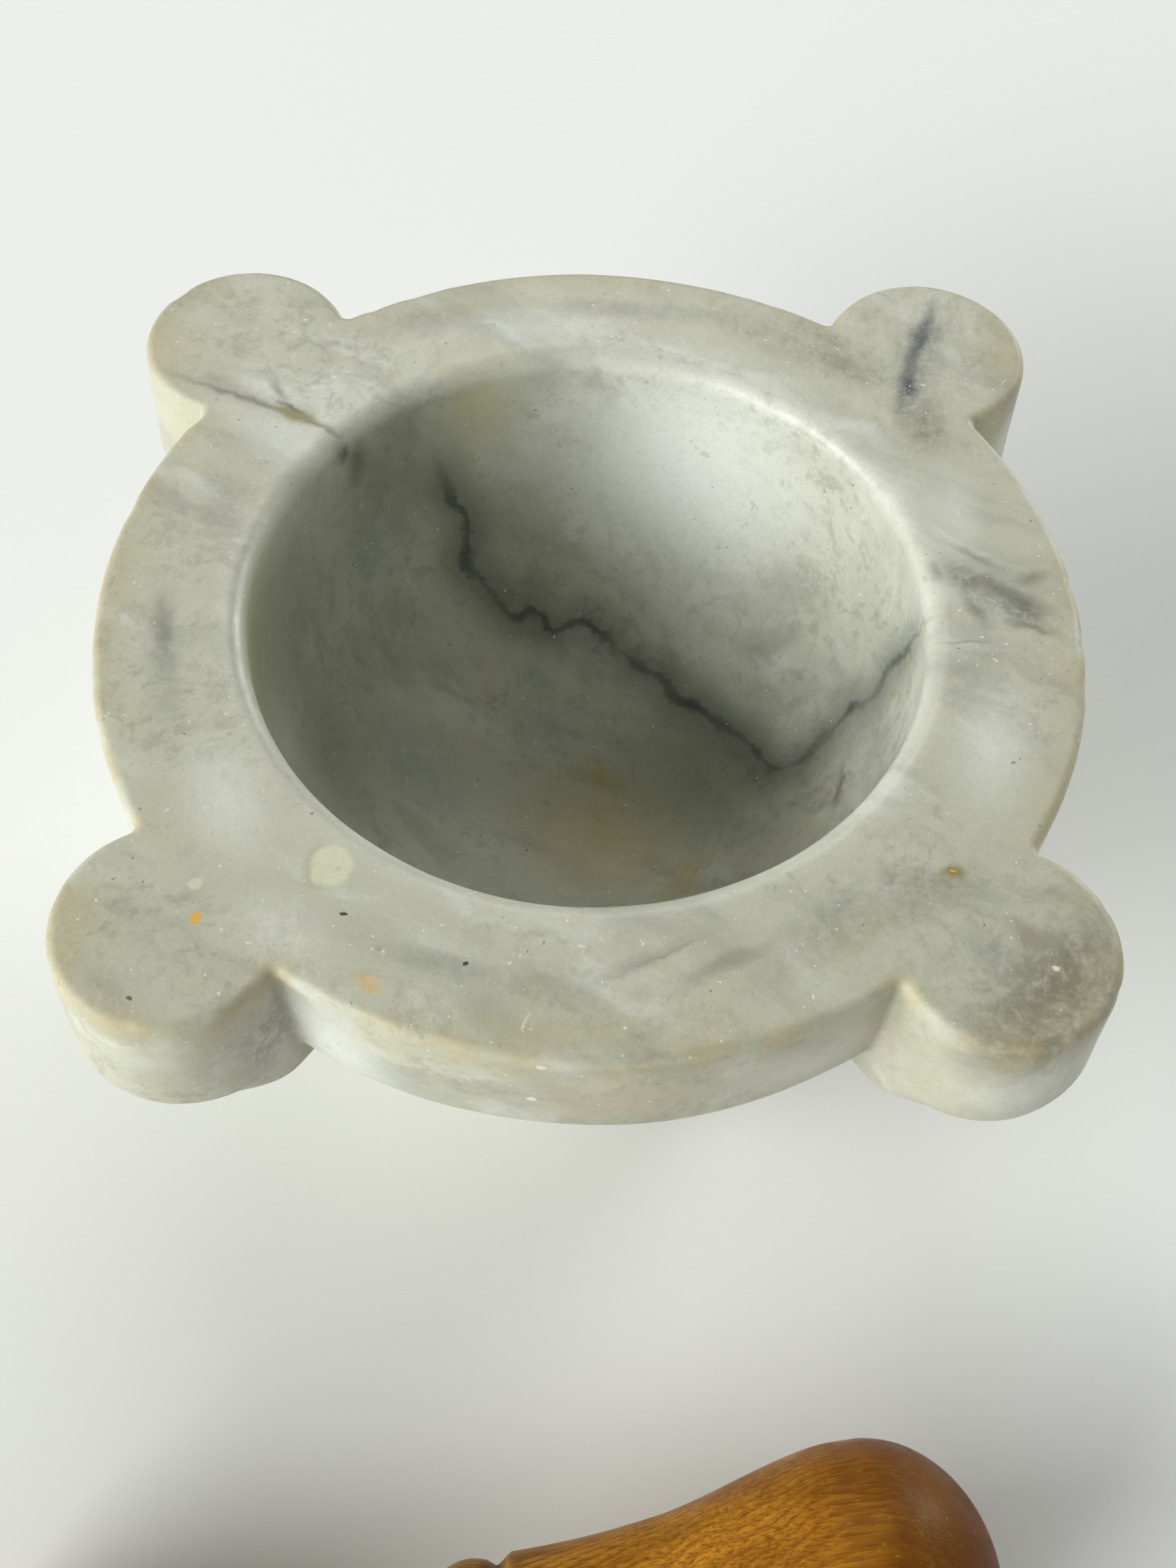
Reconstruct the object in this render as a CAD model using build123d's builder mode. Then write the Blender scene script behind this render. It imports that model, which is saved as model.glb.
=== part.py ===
from build123d import *
import os
from math import asin, cos, degrees, pi, radians, sin

# Mortar and pestle, in millimetres, +Z up. The origin is the centre of the mortar's foot, on the
# table. The mortar's four lugs stand on the diagonals; the pestle lies in front of it, along X.

# ---- mortar: one block of marble ----
overall_height = 124.0
rim_radius = 110.0
foot_radius = 60.0
foot_bevel = 2.0

wall_foot_height = 104.0      # the upright wall under the rim ends here and starts to turn in
wall_foot_radius = 109.2
shoulder = (106.2, 90.0)      # radius and height where the wall has turned in to the body's taper
shoulder_bulge = (108.3, 97.0)
body_belly = (87.0, 46.0)     # radius and height of the body's curve half way down

lug_count = 4
lug_distance = 117.5          # lug axis from the mortar's axis
lug_radius = 24.2
lug_flare = 1.4               # degrees by which a lug widens downwards
lug_wall_height = 32.0        # a lug's upright part
lug_foot_height = 50.0        # where a lug's sloping underside runs into the body
lug_length = overall_height - lug_foot_height
lug_reach = lug_distance + lug_radius + 2.0
lug_corner = 1.5              # rounding where a lug joins the body

bowl_radius = 76.0
bowl_depth = 91.0
bowl_centre = (-0.7, 2.6)     # the hand-cut bowl lies a little to the back
rim_round = 3.5
lip_round = 4.0

# ---- pestle: one turned piece of beech ----
# Distances along its axis count from the head's widest ring, towards the handle.
head_radius = 31.0
dome_length = 27.0            # from the widest ring to the head's rounded end
groove_start = 76.0
neck_radius = 13.6
groove_width = 5.2
groove_depth = 2.4
bead_radius = 13.0
bead_end = 95.0
waist_radius = 9.6            # thinnest place, between bead and handle
grip_middle = (145.0, 11.8)   # distance and radius half way along the handle
swell_distance = 184.0        # the handle's widest ring
handle_radius = 15.0
end_length = 16.0             # from that ring to the handle's rounded end

head_x, head_y = 61.7, -186.9  # the head's widest ring over the table
pestle_rise = 0.06             # keeps the tilted pestle's lowest point on the table
pestle_turn = 3.6              # degrees, in plan
pestle_tilt = degrees(asin((head_radius - handle_radius) / swell_distance))

lug_wall_foot = overall_height - lug_wall_height
lug_slope_middle = (103.9, 67.6)      # radius and height half way up a lug's sloping underside
bowl_x, bowl_y = bowl_centre
bowl_wall_foot = overall_height - (bowl_depth - bowl_radius)

# The mortar. Four upright lugs come first, and are cut off below by a slope that runs down to the
# body; then the turned body joins them, and the bowl is cut.
with BuildPart() as mortar:
    with BuildSketch(Plane.XY.offset(overall_height)):
        with PolarLocations(lug_distance, lug_count, start_angle=45):
            Circle(lug_radius)
    extrude(amount=-lug_length, taper=-lug_flare)

    with BuildSketch(Plane.XZ):
        with BuildLine():
            Polyline((0, overall_height), (lug_reach, overall_height), (lug_reach, lug_wall_foot))
            ThreePointArc((lug_reach, lug_wall_foot), lug_slope_middle, (foot_radius, lug_foot_height))
            Polyline((foot_radius, lug_foot_height), (0, lug_foot_height), (0, overall_height))
        make_face()
    revolve(axis=Axis.Z, mode=Mode.INTERSECT)

    with BuildSketch(Plane.XZ):
        with BuildLine():
            Polyline(
                (0, overall_height),
                (rim_radius, overall_height),
                (wall_foot_radius, wall_foot_height),
            )
            ThreePointArc((wall_foot_radius, wall_foot_height), shoulder_bulge, shoulder)
            ThreePointArc(shoulder, body_belly, (foot_radius + foot_bevel, foot_bevel))
            Polyline(
                (foot_radius + foot_bevel, foot_bevel),
                (foot_radius, 0),
                (0, 0),
                (0, overall_height),
            )
        make_face()
    revolve(axis=Axis.Z)

    lug_joins = mortar.edges().filter_by(GeomType.BSPLINE).filter_by_position(
        Axis.Z, lug_foot_height, overall_height
    )
    fillet(lug_joins, radius=lug_corner)
    fillet(mortar.faces().sort_by(Axis.Z)[-1].outer_wire().edges(), radius=rim_round)

    with BuildSketch(Plane.XZ.offset(-bowl_y)):
        with BuildLine():
            Polyline(
                (bowl_x, overall_height),
                (bowl_x + bowl_radius, overall_height),
                (bowl_x + bowl_radius, bowl_wall_foot),
            )
            ThreePointArc(
                (bowl_x + bowl_radius, bowl_wall_foot),
                (bowl_x + bowl_radius * cos(pi / 4), bowl_wall_foot - bowl_radius * sin(pi / 4)),
                (bowl_x, overall_height - bowl_depth),
            )
            Line((bowl_x, overall_height - bowl_depth), (bowl_x, overall_height))
        make_face()
    revolve(axis=Axis((bowl_x, bowl_y, 0), (0, 0, 1)), mode=Mode.SUBTRACT)
    fillet(mortar.faces().sort_by(Axis.Z)[-1].inner_wires()[0].edges(), radius=lip_round)

mortar.part.label = "mortar"

# The pestle lies on the table on its head and on the handle's widest ring.
turn, tilt = radians(pestle_turn), radians(pestle_tilt)
head_centre = Vector(head_x, head_y, head_radius + pestle_rise)
towards_head = Vector(cos(turn) * cos(tilt), sin(turn) * cos(tilt), sin(tilt))
pestle_plane = Plane(head_centre, x_dir=towards_head, z_dir=(sin(turn), -cos(turn), 0))

with BuildPart() as pestle:
    with BuildSketch(pestle_plane):
        with BuildLine():
            groove_end = groove_start + groove_width
            EllipticalCenterArc((0, 0), dome_length, head_radius, start_angle=0, arc_size=90)
            Spline(
                (0, head_radius),
                (-16, 28.3),
                (-33, 22.0),
                (-50, 17.2),
                (-groove_start, neck_radius),
                tangents=((-1, 0), (-1, -0.08)),
            )
            Polyline(
                (-groove_start, neck_radius),
                (-groove_start - groove_width / 2, neck_radius - groove_depth),
                (-groove_end, bead_radius - 0.4),
            )
            ThreePointArc(
                (-groove_end, bead_radius - 0.4),
                (-groove_end - 0.2 * (bead_end - groove_end), bead_radius),
                (-bead_end, waist_radius),
            )
            Spline(
                (-bead_end, waist_radius),
                (-grip_middle[0], grip_middle[1]),
                (-swell_distance, handle_radius),
                tangents=((-1, 0), (-1, 0)),
            )
            EllipticalCenterArc(
                (-swell_distance, 0), end_length, handle_radius, start_angle=90, arc_size=90
            )
            Line((-swell_distance - end_length, 0), (dome_length, 0))
        make_face()
    revolve(axis=Axis(head_centre, towards_head))

pestle.part.label = "pestle"

os.makedirs("parts", exist_ok=True)
export_step(mortar.part, "parts/mortar.step")
export_step(pestle.part, "parts/pestle.step")
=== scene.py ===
import math

import bpy
import numpy as np
from mathutils import Matrix, Vector


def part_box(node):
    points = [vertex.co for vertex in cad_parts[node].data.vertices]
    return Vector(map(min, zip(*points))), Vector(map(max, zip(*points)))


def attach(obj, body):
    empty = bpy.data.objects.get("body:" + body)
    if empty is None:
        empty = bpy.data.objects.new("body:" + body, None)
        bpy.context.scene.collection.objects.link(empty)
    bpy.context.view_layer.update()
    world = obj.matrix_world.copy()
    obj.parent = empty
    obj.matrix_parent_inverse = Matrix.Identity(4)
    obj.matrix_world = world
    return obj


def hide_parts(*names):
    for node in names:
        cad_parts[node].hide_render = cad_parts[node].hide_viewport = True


bl_info = {
    "name": "Mortar and Pestle",
    "version": (1, 0, 0),
    "blender": (4, 5, 0),
    "location": "View3D > Sidebar > Mortar",
    "description": "Dresses a marble mortar and its beech pestle",
    "category": "Object",
}

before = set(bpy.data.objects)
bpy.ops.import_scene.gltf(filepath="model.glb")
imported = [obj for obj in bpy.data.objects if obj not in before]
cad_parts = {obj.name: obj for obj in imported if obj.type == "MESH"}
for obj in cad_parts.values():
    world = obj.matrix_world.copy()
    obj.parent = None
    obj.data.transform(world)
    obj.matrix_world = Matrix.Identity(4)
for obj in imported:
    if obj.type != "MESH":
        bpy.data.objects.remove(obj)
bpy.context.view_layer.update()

MM = 0.001
FULL_TURN = 2 * math.pi
QUARTER = math.pi / 2


# ---------------------------------------------------------------- settings


def length(name, description, millimetres):
    """A size property, stored in metres and shown as a length."""
    return bpy.props.FloatProperty(
        name=name, description=description, default=millimetres * MM, unit="LENGTH", precision=4
    )


def colour(name, description, value):
    """A colour property in linear light."""
    return bpy.props.FloatVectorProperty(
        name=name, description=description, default=value, subtype="COLOR", size=3, min=0.0, max=1.0
    )


class MortarSettings(bpy.types.PropertyGroup):
    """Sizes and colours of the marble mortar."""

    rim_radius: length("Rim radius", "Outer radius of the rim at the top", 110.0)
    lug_distance: length("Lug distance", "From the mortar's axis to a lug's axis", 117.5)
    lug_radius: length("Lug radius", "Radius of a lug at the top", 24.2)
    lug_join: length("Lug join", "Hollow rounding between a lug and the rim", 1.6)
    rim_round: length("Rim rounding", "Worn rounding of the outer top edge", 2.5)
    lip_round: length("Lip rounding", "Polished rounding of the bowl's lip", 4.8)
    bowl_radius: length("Bowl radius", "Radius of the bowl's opening and of its round bottom", 76.0)
    bowl_depth: length("Bowl depth", "From the rim to the bottom of the bowl", 91.0)
    foot_radius: length("Foot radius", "Radius of the flat foot", 60.0)
    unevenness: length("Unevenness", "How far the hand-cut faces wander", 0.35)
    stone: colour("Stone", "The marble's pale ground", (0.485, 0.495, 0.372))
    bowl_stone: colour("Bowl stone", "The cleaner, cooler stone inside the bowl", (0.53, 0.545, 0.45))
    cloud: colour("Cloud", "Grey clouds in the marble", (0.30, 0.31, 0.245))
    vein: colour("Vein", "Dark jagged vein", (0.045, 0.055, 0.055))
    tint: colour("Edge tint", "Beige stain on worn edges", (0.47, 0.40, 0.225))


class PestleSettings(bpy.types.PropertyGroup):
    """Sizes and colours of the beech pestle."""

    head_radius: length("Head radius", "Radius of the head's widest ring", 31.0)
    dome: length("Dome", "From the widest ring to the head's rounded end", 27.0)
    handle_radius: length("Handle radius", "Radius of the handle's swelling", 15.0)
    light_wood: colour("Light wood", "Early wood under varnish", (0.54, 0.235, 0.020))
    dark_wood: colour("Dark wood", "Late wood and fibre dashes", (0.135, 0.042, 0.004))


class StageSettings(bpy.types.PropertyGroup):
    """Floor, light and camera."""

    floor: colour("Floor", "Pale table top", (0.84, 0.857, 0.825))
    world: bpy.props.FloatProperty(name="World", description="Strength of the even light", default=0.18)
    backdrop: bpy.props.FloatProperty(name="Backdrop", description="Paleness behind the floor", default=0.72)
    key: bpy.props.FloatProperty(name="Key light", description="Power from the front left", default=226.0)
    back: bpy.props.FloatProperty(name="Back light", description="Power from the back right", default=88.0)
    fill: bpy.props.FloatProperty(name="Fill light", description="Power from the right", default=16.0)
    above: bpy.props.FloatProperty(name="High light", description="Power from the back, high", default=42.0)


# ---------------------------------------------------------------- meshes


def grid_faces(rows, columns):
    """Quads between neighbouring rows of a grid whose columns close into a ring."""
    row, column = np.meshgrid(np.arange(rows - 1), np.arange(columns), indexing="ij")
    following = (column + 1) % columns
    low, high = row * columns, (row + 1) * columns
    return np.stack([low + column, high + column, high + following, low + following], -1).reshape(-1, 4)


def closed_surface(name, rings, first_pole, last_pole, attributes=None):
    """One smooth closed mesh from rings of points (rows, columns, 3), with a fan at each pole.

    attributes holds one value for each row and column; the poles take the mean of their ring."""
    rows, columns = rings.shape[:2]
    points = np.concatenate([rings.reshape(-1, 3), [first_pole], [last_pole]])
    first, last = rows * columns, rows * columns + 1
    ring = np.arange(columns)
    following = (ring + 1) % columns
    top = (rows - 1) * columns
    fans = [
        np.stack([np.full(columns, first), ring, following], -1),
        np.stack([np.full(columns, last), top + following, top + ring], -1),
    ]
    mesh = bpy.data.meshes.new(name)
    faces = grid_faces(rows, columns).tolist() + fans[0].tolist() + fans[1].tolist()
    mesh.from_pydata((points * MM).tolist(), [], faces)
    mesh.polygons.foreach_set("use_smooth", np.ones(len(mesh.polygons), bool))
    for label, values in (attributes or {}).items():
        layer = mesh.attributes.new(label, "FLOAT", "POINT")
        values = np.broadcast_to(values, (rows, columns))
        ends = [values[0].mean(), values[-1].mean()]
        layer.data.foreach_set("value", np.concatenate([values.ravel(), ends]).astype(np.float32))
    mesh.validate()
    mesh.update()
    piece = bpy.data.objects.new(name, mesh)
    bpy.context.scene.collection.objects.link(piece)
    return piece


def wander(points, size, seed):
    """Slow, smooth unevenness from -1 to 1: the mean of five sine waves of about the given size
    in millimetres, running in different directions."""
    rng = np.random.default_rng(seed)
    total = np.zeros(points.shape[:-1])
    for _ in range(5):
        direction = rng.normal(size=3)
        direction *= FULL_TURN / size / np.linalg.norm(direction) * rng.uniform(0.7, 1.4)
        total += np.sin(points @ direction + rng.uniform(0, FULL_TURN))
    return total / 5


# ---------------------------------------------------------------- mortar

# millimetres, unless they say otherwise
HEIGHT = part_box("mortar")[1][2] / MM
BOWL_CENTRE = np.array([-0.7, 2.6])  # the hand-cut bowl lies a little to the back
LUG_FOOT = 52.0  # where a lug's sloping underside has run out on the body
LUG_WALL_FOOT = 91.0  # the lower end of a lug's upright wall
LUG_WORN = 4.0  # height of the worn band along that lower edge
LUG_FLARE = 0.8  # how much wider a lug is at the foot of its wall
LUG_BLEND = 8.0  # how far past the rim a lug's wall stops following the body's taper
SWAY_SIZE, RIPPLE_SIZE, RIPPLE_SHARE = 70, 17, 0.25  # the hand-cut faces' slow and quick waves
STEADY_HEIGHT = 12  # below this the waves fade, so that the foot stays flat
NICK_SIZE, NICK_DEPTH = 9, 0.45  # small nicks along the outer top edge
# each lug's own direction, and how much farther out and how much larger it is than was meant,
# from the back right anticlockwise
LUG_TURNS = np.radians([45.5, 135.3, 223.4, 315.5])
LUG_SHIFTS = np.array([0.1, 1.1, -0.9, -0.3])
LUG_SWELLS = np.array([0.3, 0.3, -0.1, -0.5])
RIM_COLUMNS, JOIN_COLUMNS, LUG_COLUMNS = 44, 8, 52
LUG_FAN = 0.56  # the share of a lug's width that its columns come from, seen from the bowl


def arc(centre, radius, start, stop, count):
    """Arcs in plan, one for each row: count points whose angle runs evenly from start to stop."""
    angle = start[:, None] + (stop - start)[:, None] * np.arange(count) / count
    return centre[:, None] + radius[:, None, None] * np.stack([np.cos(angle), np.sin(angle)], -1)


def polar(distance, angle):
    """Points in plan at a distance and an angle from the mortar's axis."""
    return np.stack([distance * np.cos(angle), distance * np.sin(angle)], -1)


def lug_spans(settings, flare):
    """For each row and lug: how far either side of the lug, seen from the mortar's axis and from
    the lug's, the hollow rounding's centre lies, by the law of cosines."""
    away = settings.lug_distance / MM + LUG_SHIFTS
    hollow_away = settings.rim_radius / MM + settings.lug_join / MM
    reach = settings.lug_radius / MM + LUG_SWELLS + flare[:, None] + settings.lug_join / MM
    half = np.arccos((hollow_away**2 + away**2 - reach**2) / (2 * hollow_away * away))
    side = math.pi - np.arccos((away**2 + reach**2 - hollow_away**2) / (2 * away * reach))
    return half, side


def rim_outline(settings, inset, flare):
    """The outline of rim and lugs for each row, as arcs that touch: rim arc, hollow arc, lug arc,
    hollow arc, four times round. inset moves it inwards by the same distance all along, and
    flare is added to each lug's radius."""
    join, rim = settings.lug_join / MM, settings.rim_radius / MM
    half, side = lug_spans(settings, flare)
    rest = np.zeros(len(inset))
    strips = []
    for i, turn in enumerate(LUG_TURNS):
        start = rest + LUG_TURNS[i - 1] + half[:, i - 1] - (FULL_TURN if i == 0 else 0)
        before, after = turn - half[:, i], turn + half[:, i]
        low, high = turn - side[:, i], turn + side[:, i]
        lug = settings.lug_radius / MM + LUG_SWELLS[i] + flare - inset
        lug_centre = polar(settings.lug_distance / MM + LUG_SHIFTS[i], rest + turn)
        first, second = polar(rim + join, before), polar(rim + join, after)
        strips += [
            arc(np.zeros((len(inset), 2)), rim - inset, start, before, RIM_COLUMNS),
            arc(first, join + inset, math.pi + before, math.pi + low, JOIN_COLUMNS),
            arc(lug_centre, lug, low, high, LUG_COLUMNS),
            arc(second, join + inset, high - math.pi, after - math.pi, JOIN_COLUMNS),
        ]
    return np.concatenate(strips, 1)


def circle(angles, radius, centre=(0.0, 0.0)):
    """Circles in plan, one for each radius, with points at the given angles."""
    ring = np.stack([np.cos(angles), np.sin(angles)], -1)
    return np.asarray(centre) + np.asarray(radius)[:, None, None] * ring


def levels(plan, heights):
    """Points of outlines (rows, columns, 2) put at each row's height, which may vary by column."""
    heights = np.broadcast_to(np.asarray(heights, float).reshape(len(plan), -1), plan.shape[:2])
    return np.concatenate([plan, heights[..., None]], -1)


def smooth(t):
    """Goes from 0 to 1 with no slope at either end."""
    t = np.clip(t, 0, 1)
    return t * t * (3 - 2 * t)


def column_angles(settings):
    """The direction of each of the outline's columns on a plain circle: the rim's own on the rim
    arcs, and evenly spaced across a lug and its two hollows, inside the lug's sides."""
    half = lug_spans(settings, np.zeros(1))[0][0]
    inner = LUG_FAN * math.asin(settings.lug_radius / settings.lug_distance)
    starts = np.roll(LUG_TURNS + half, 1) - np.array([FULL_TURN, 0, 0, 0])
    counts = [RIM_COLUMNS, JOIN_COLUMNS, LUG_COLUMNS, JOIN_COLUMNS]
    strips = []
    for turn, start, reach in zip(LUG_TURNS, starts, half):
        stops = [start, turn - reach, turn - inner, turn + inner, turn + reach]
        for low, high, count in zip(stops, stops[1:], counts):
            strips.append(low + (high - low) * np.arange(count) / count)
    return np.concatenate(strips)


def seen_from_axis(angles, radius, centre):
    """Directions from a circle's own centre of its points that lie at the given directions from
    the mortar's axis."""
    sight = np.stack([np.cos(angles), np.sin(angles)], -1)
    along = sight @ centre
    points = sight * (along + np.sqrt(radius**2 - centre @ centre + along**2))[:, None] - centre
    return np.arctan2(points[:, 1], points[:, 0])


def body_radius(height):
    """The turned body's radius at a height, by straight lines between a few places: upright
    wall, quick turn in at the shoulder, then a slightly bellied taper to the foot."""
    heights = [0.0, 1.0, 2.5, 24.0, 46.0, 68.0, 80.0, 86.0, 90.0, 93.0, 104.0, HEIGHT]
    radii = [60.0, 61.4, 62.6, 75.2, 86.6, 96.9, 102.4, 105.4, 107.6, 108.6, 109.4, 110.0]
    return np.interp(height, heights, radii)


def lug_share(height):
    """How much of a lug's depth is left at a height: all of it down to the worn band, a quarter
    of an ellipse across the band, and below it a slope, t to the power 1.25, that runs out on
    the body."""
    t = np.clip((height - LUG_FOOT) / (LUG_WALL_FOOT - LUG_FOOT), 0, 1)
    worn = np.sqrt(np.clip(1 - ((height - LUG_WALL_FOOT - LUG_WORN) / LUG_WORN / 1.5) ** 2, 0, 1))
    sloping = t**1.25 * np.where(t < 1, 0.9, 0.9 + 0.1 * worn)
    return np.where(height > LUG_WALL_FOOT + LUG_WORN, 1.0, sloping)


def mortar_rings(settings):
    """The whole mortar as one surface: rings that start at the bottom of the bowl, climb its
    wall, cross the lip and the flat top, turn over the outer edge and run down the wall and the
    body to the middle of the foot. Every ring has the outline's columns."""
    bowl, depth = settings.bowl_radius / MM, settings.bowl_depth / MM
    lip, edge = settings.lip_round / MM, settings.rim_round / MM
    rim, foot = settings.rim_radius / MM, settings.foot_radius / MM
    even_angle = column_angles(settings)
    bowl_angle = seen_from_axis(even_angle, bowl + lip, BOWL_CENTRE)

    climb = QUARTER * np.linspace(0.03, 1, 62)
    bowl_ball = levels(
        circle(bowl_angle, bowl * np.sin(climb), BOWL_CENTRE), HEIGHT - depth + bowl * (1 - np.cos(climb))
    )
    wall = np.linspace(HEIGHT - depth + bowl, HEIGHT - lip, 8)[1:]
    bowl_wall = levels(circle(bowl_angle, bowl + 0 * wall, BOWL_CENTRE), wall)
    over = QUARTER * np.linspace(0, 1, 9)[1:]
    lip_rings = levels(
        circle(bowl_angle, bowl + lip * (1 - np.cos(over)), BOWL_CENTRE), HEIGHT - lip * (1 - np.sin(over))
    )

    edge_inner = rim_outline(settings, np.array([edge]), np.zeros(1))[0]
    t = np.linspace(0, 1, 18)[1:, None, None]
    top_plan = lip_rings[-1][:, :2] * (1 - t) + edge_inner * t
    top = levels(top_plan, np.full(len(t), HEIGHT))

    down = QUARTER * np.linspace(0, 1, 10)[1:]
    edge_rings = levels(
        rim_outline(settings, edge * (1 - np.sin(down)), 0 * down),
        HEIGHT - edge * (1 - np.cos(down)),
    )

    heights = np.concatenate([
        np.linspace(HEIGHT - edge, LUG_WALL_FOOT + LUG_WORN, 13)[1:],
        np.linspace(LUG_WALL_FOOT + LUG_WORN, LUG_WALL_FOOT - 2, 9)[1:],
        np.linspace(LUG_WALL_FOOT - 2, 4, 44)[1:],
        [2.8, 1.8, 1.0, 0.4, 0.1, 0.0],
    ])
    flare = np.clip((HEIGHT - heights) / (HEIGHT - LUG_WALL_FOOT), 0, 1) * LUG_FLARE
    share = lug_share(heights)[:, None]
    lugged = rim_outline(settings, 0 * heights, flare)
    body = body_radius(heights)[:, None]
    stand = np.maximum(np.linalg.norm(lugged, axis=-1) - rim, 0)
    stand = (stand + (rim - body) * smooth(stand / LUG_BLEND)) * share
    lugged_angle = np.arctan2(lugged[..., 1], lugged[..., 0])
    lugged_angle += FULL_TURN * np.round((even_angle - lugged_angle) / FULL_TURN)
    angle = even_angle + (lugged_angle - even_angle) * smooth(share * 1.5)
    radius = body + stand
    outer = levels(radius[..., None] * np.stack([np.cos(angle), np.sin(angle)], -1), heights)

    inwards = foot * np.linspace(1, 0.03, 22)[1:]
    under = levels(circle(even_angle, inwards), 0 * inwards)
    return [bowl_ball, bowl_wall, lip_rings, top, edge_rings, outer, under]


# the dark vein's course down the back of the bowl, under its middle and up the right-hand side
VEIN = [
    (-39.6, 68.2, 112), (-39.1, 68, 103.6), (-37.1, 67.9, 95.3), (-35, 66.6, 86.5), (-30.4, 65.1, 77.6),
    (-31.2, 61.3, 71), (-31.6, 58.9, 68.3), (-26.8, 57.9, 63.9), (-23.2, 55.5, 59.3), (-18.2, 52.9, 54.8),
    (-14.6, 55.2, 56), (-11.5, 54.3, 54.3), (-8.4, 51.5, 51.3), (0.2, 53.5, 52.6), (5.2, 50.7, 50.4),
    (12.7, 44.3, 46.9), (20.1, 40.2, 46.3), (24.9, 33.9, 44.7), (30.9, 30.3, 45.7), (36.7, 24, 46.4),
    (43.4, 17.1, 48.8), (48.4, 8.6, 51.2), (54.4, 7, 56.9), (62.1, 10.1, 66.9),
    (65.4, 11.6, 72.6), (70.1, 8.8, 82.1), (72.5, 10.8, 90.4), (74.6, 8.0, 101),
    (75.3, 4.8, 112),
]
VEIN_REACH = 25.0


def vein_masks(rings):
    """For every point, its signed distance across the vein's course, up to VEIN_REACH either way,
    how far along the course its nearest place lies, both in millimetres, and whether it is near."""
    course = curve_through(VEIN, 150)
    middle = np.array([*BOWL_CENTRE, 109.0])
    starts, steps = course[:-1], np.diff(course, axis=0)
    lengths = np.linalg.norm(steps, axis=1)
    before = np.concatenate([[0], np.cumsum(lengths)[:-1]])
    away = rings[..., None, :] - starts
    t = np.clip((away * steps).sum(-1) / lengths**2, 0, 1)
    gaps = away - t[..., None] * steps
    distance = np.linalg.norm(gaps, axis=-1)
    nearest = distance.argmin(-1)[..., None]
    side = (np.cross(steps, away) * (middle - rings)[..., None, :]).sum(-1)
    pick = [np.take_along_axis(v, nearest, -1)[..., 0] for v in (distance, side, before + t * lengths)]
    across = np.minimum(pick[0], VEIN_REACH) * np.where(pick[1] < 0, -1, 1)
    return across, pick[2], smooth(2 - pick[0] / 7)


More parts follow.
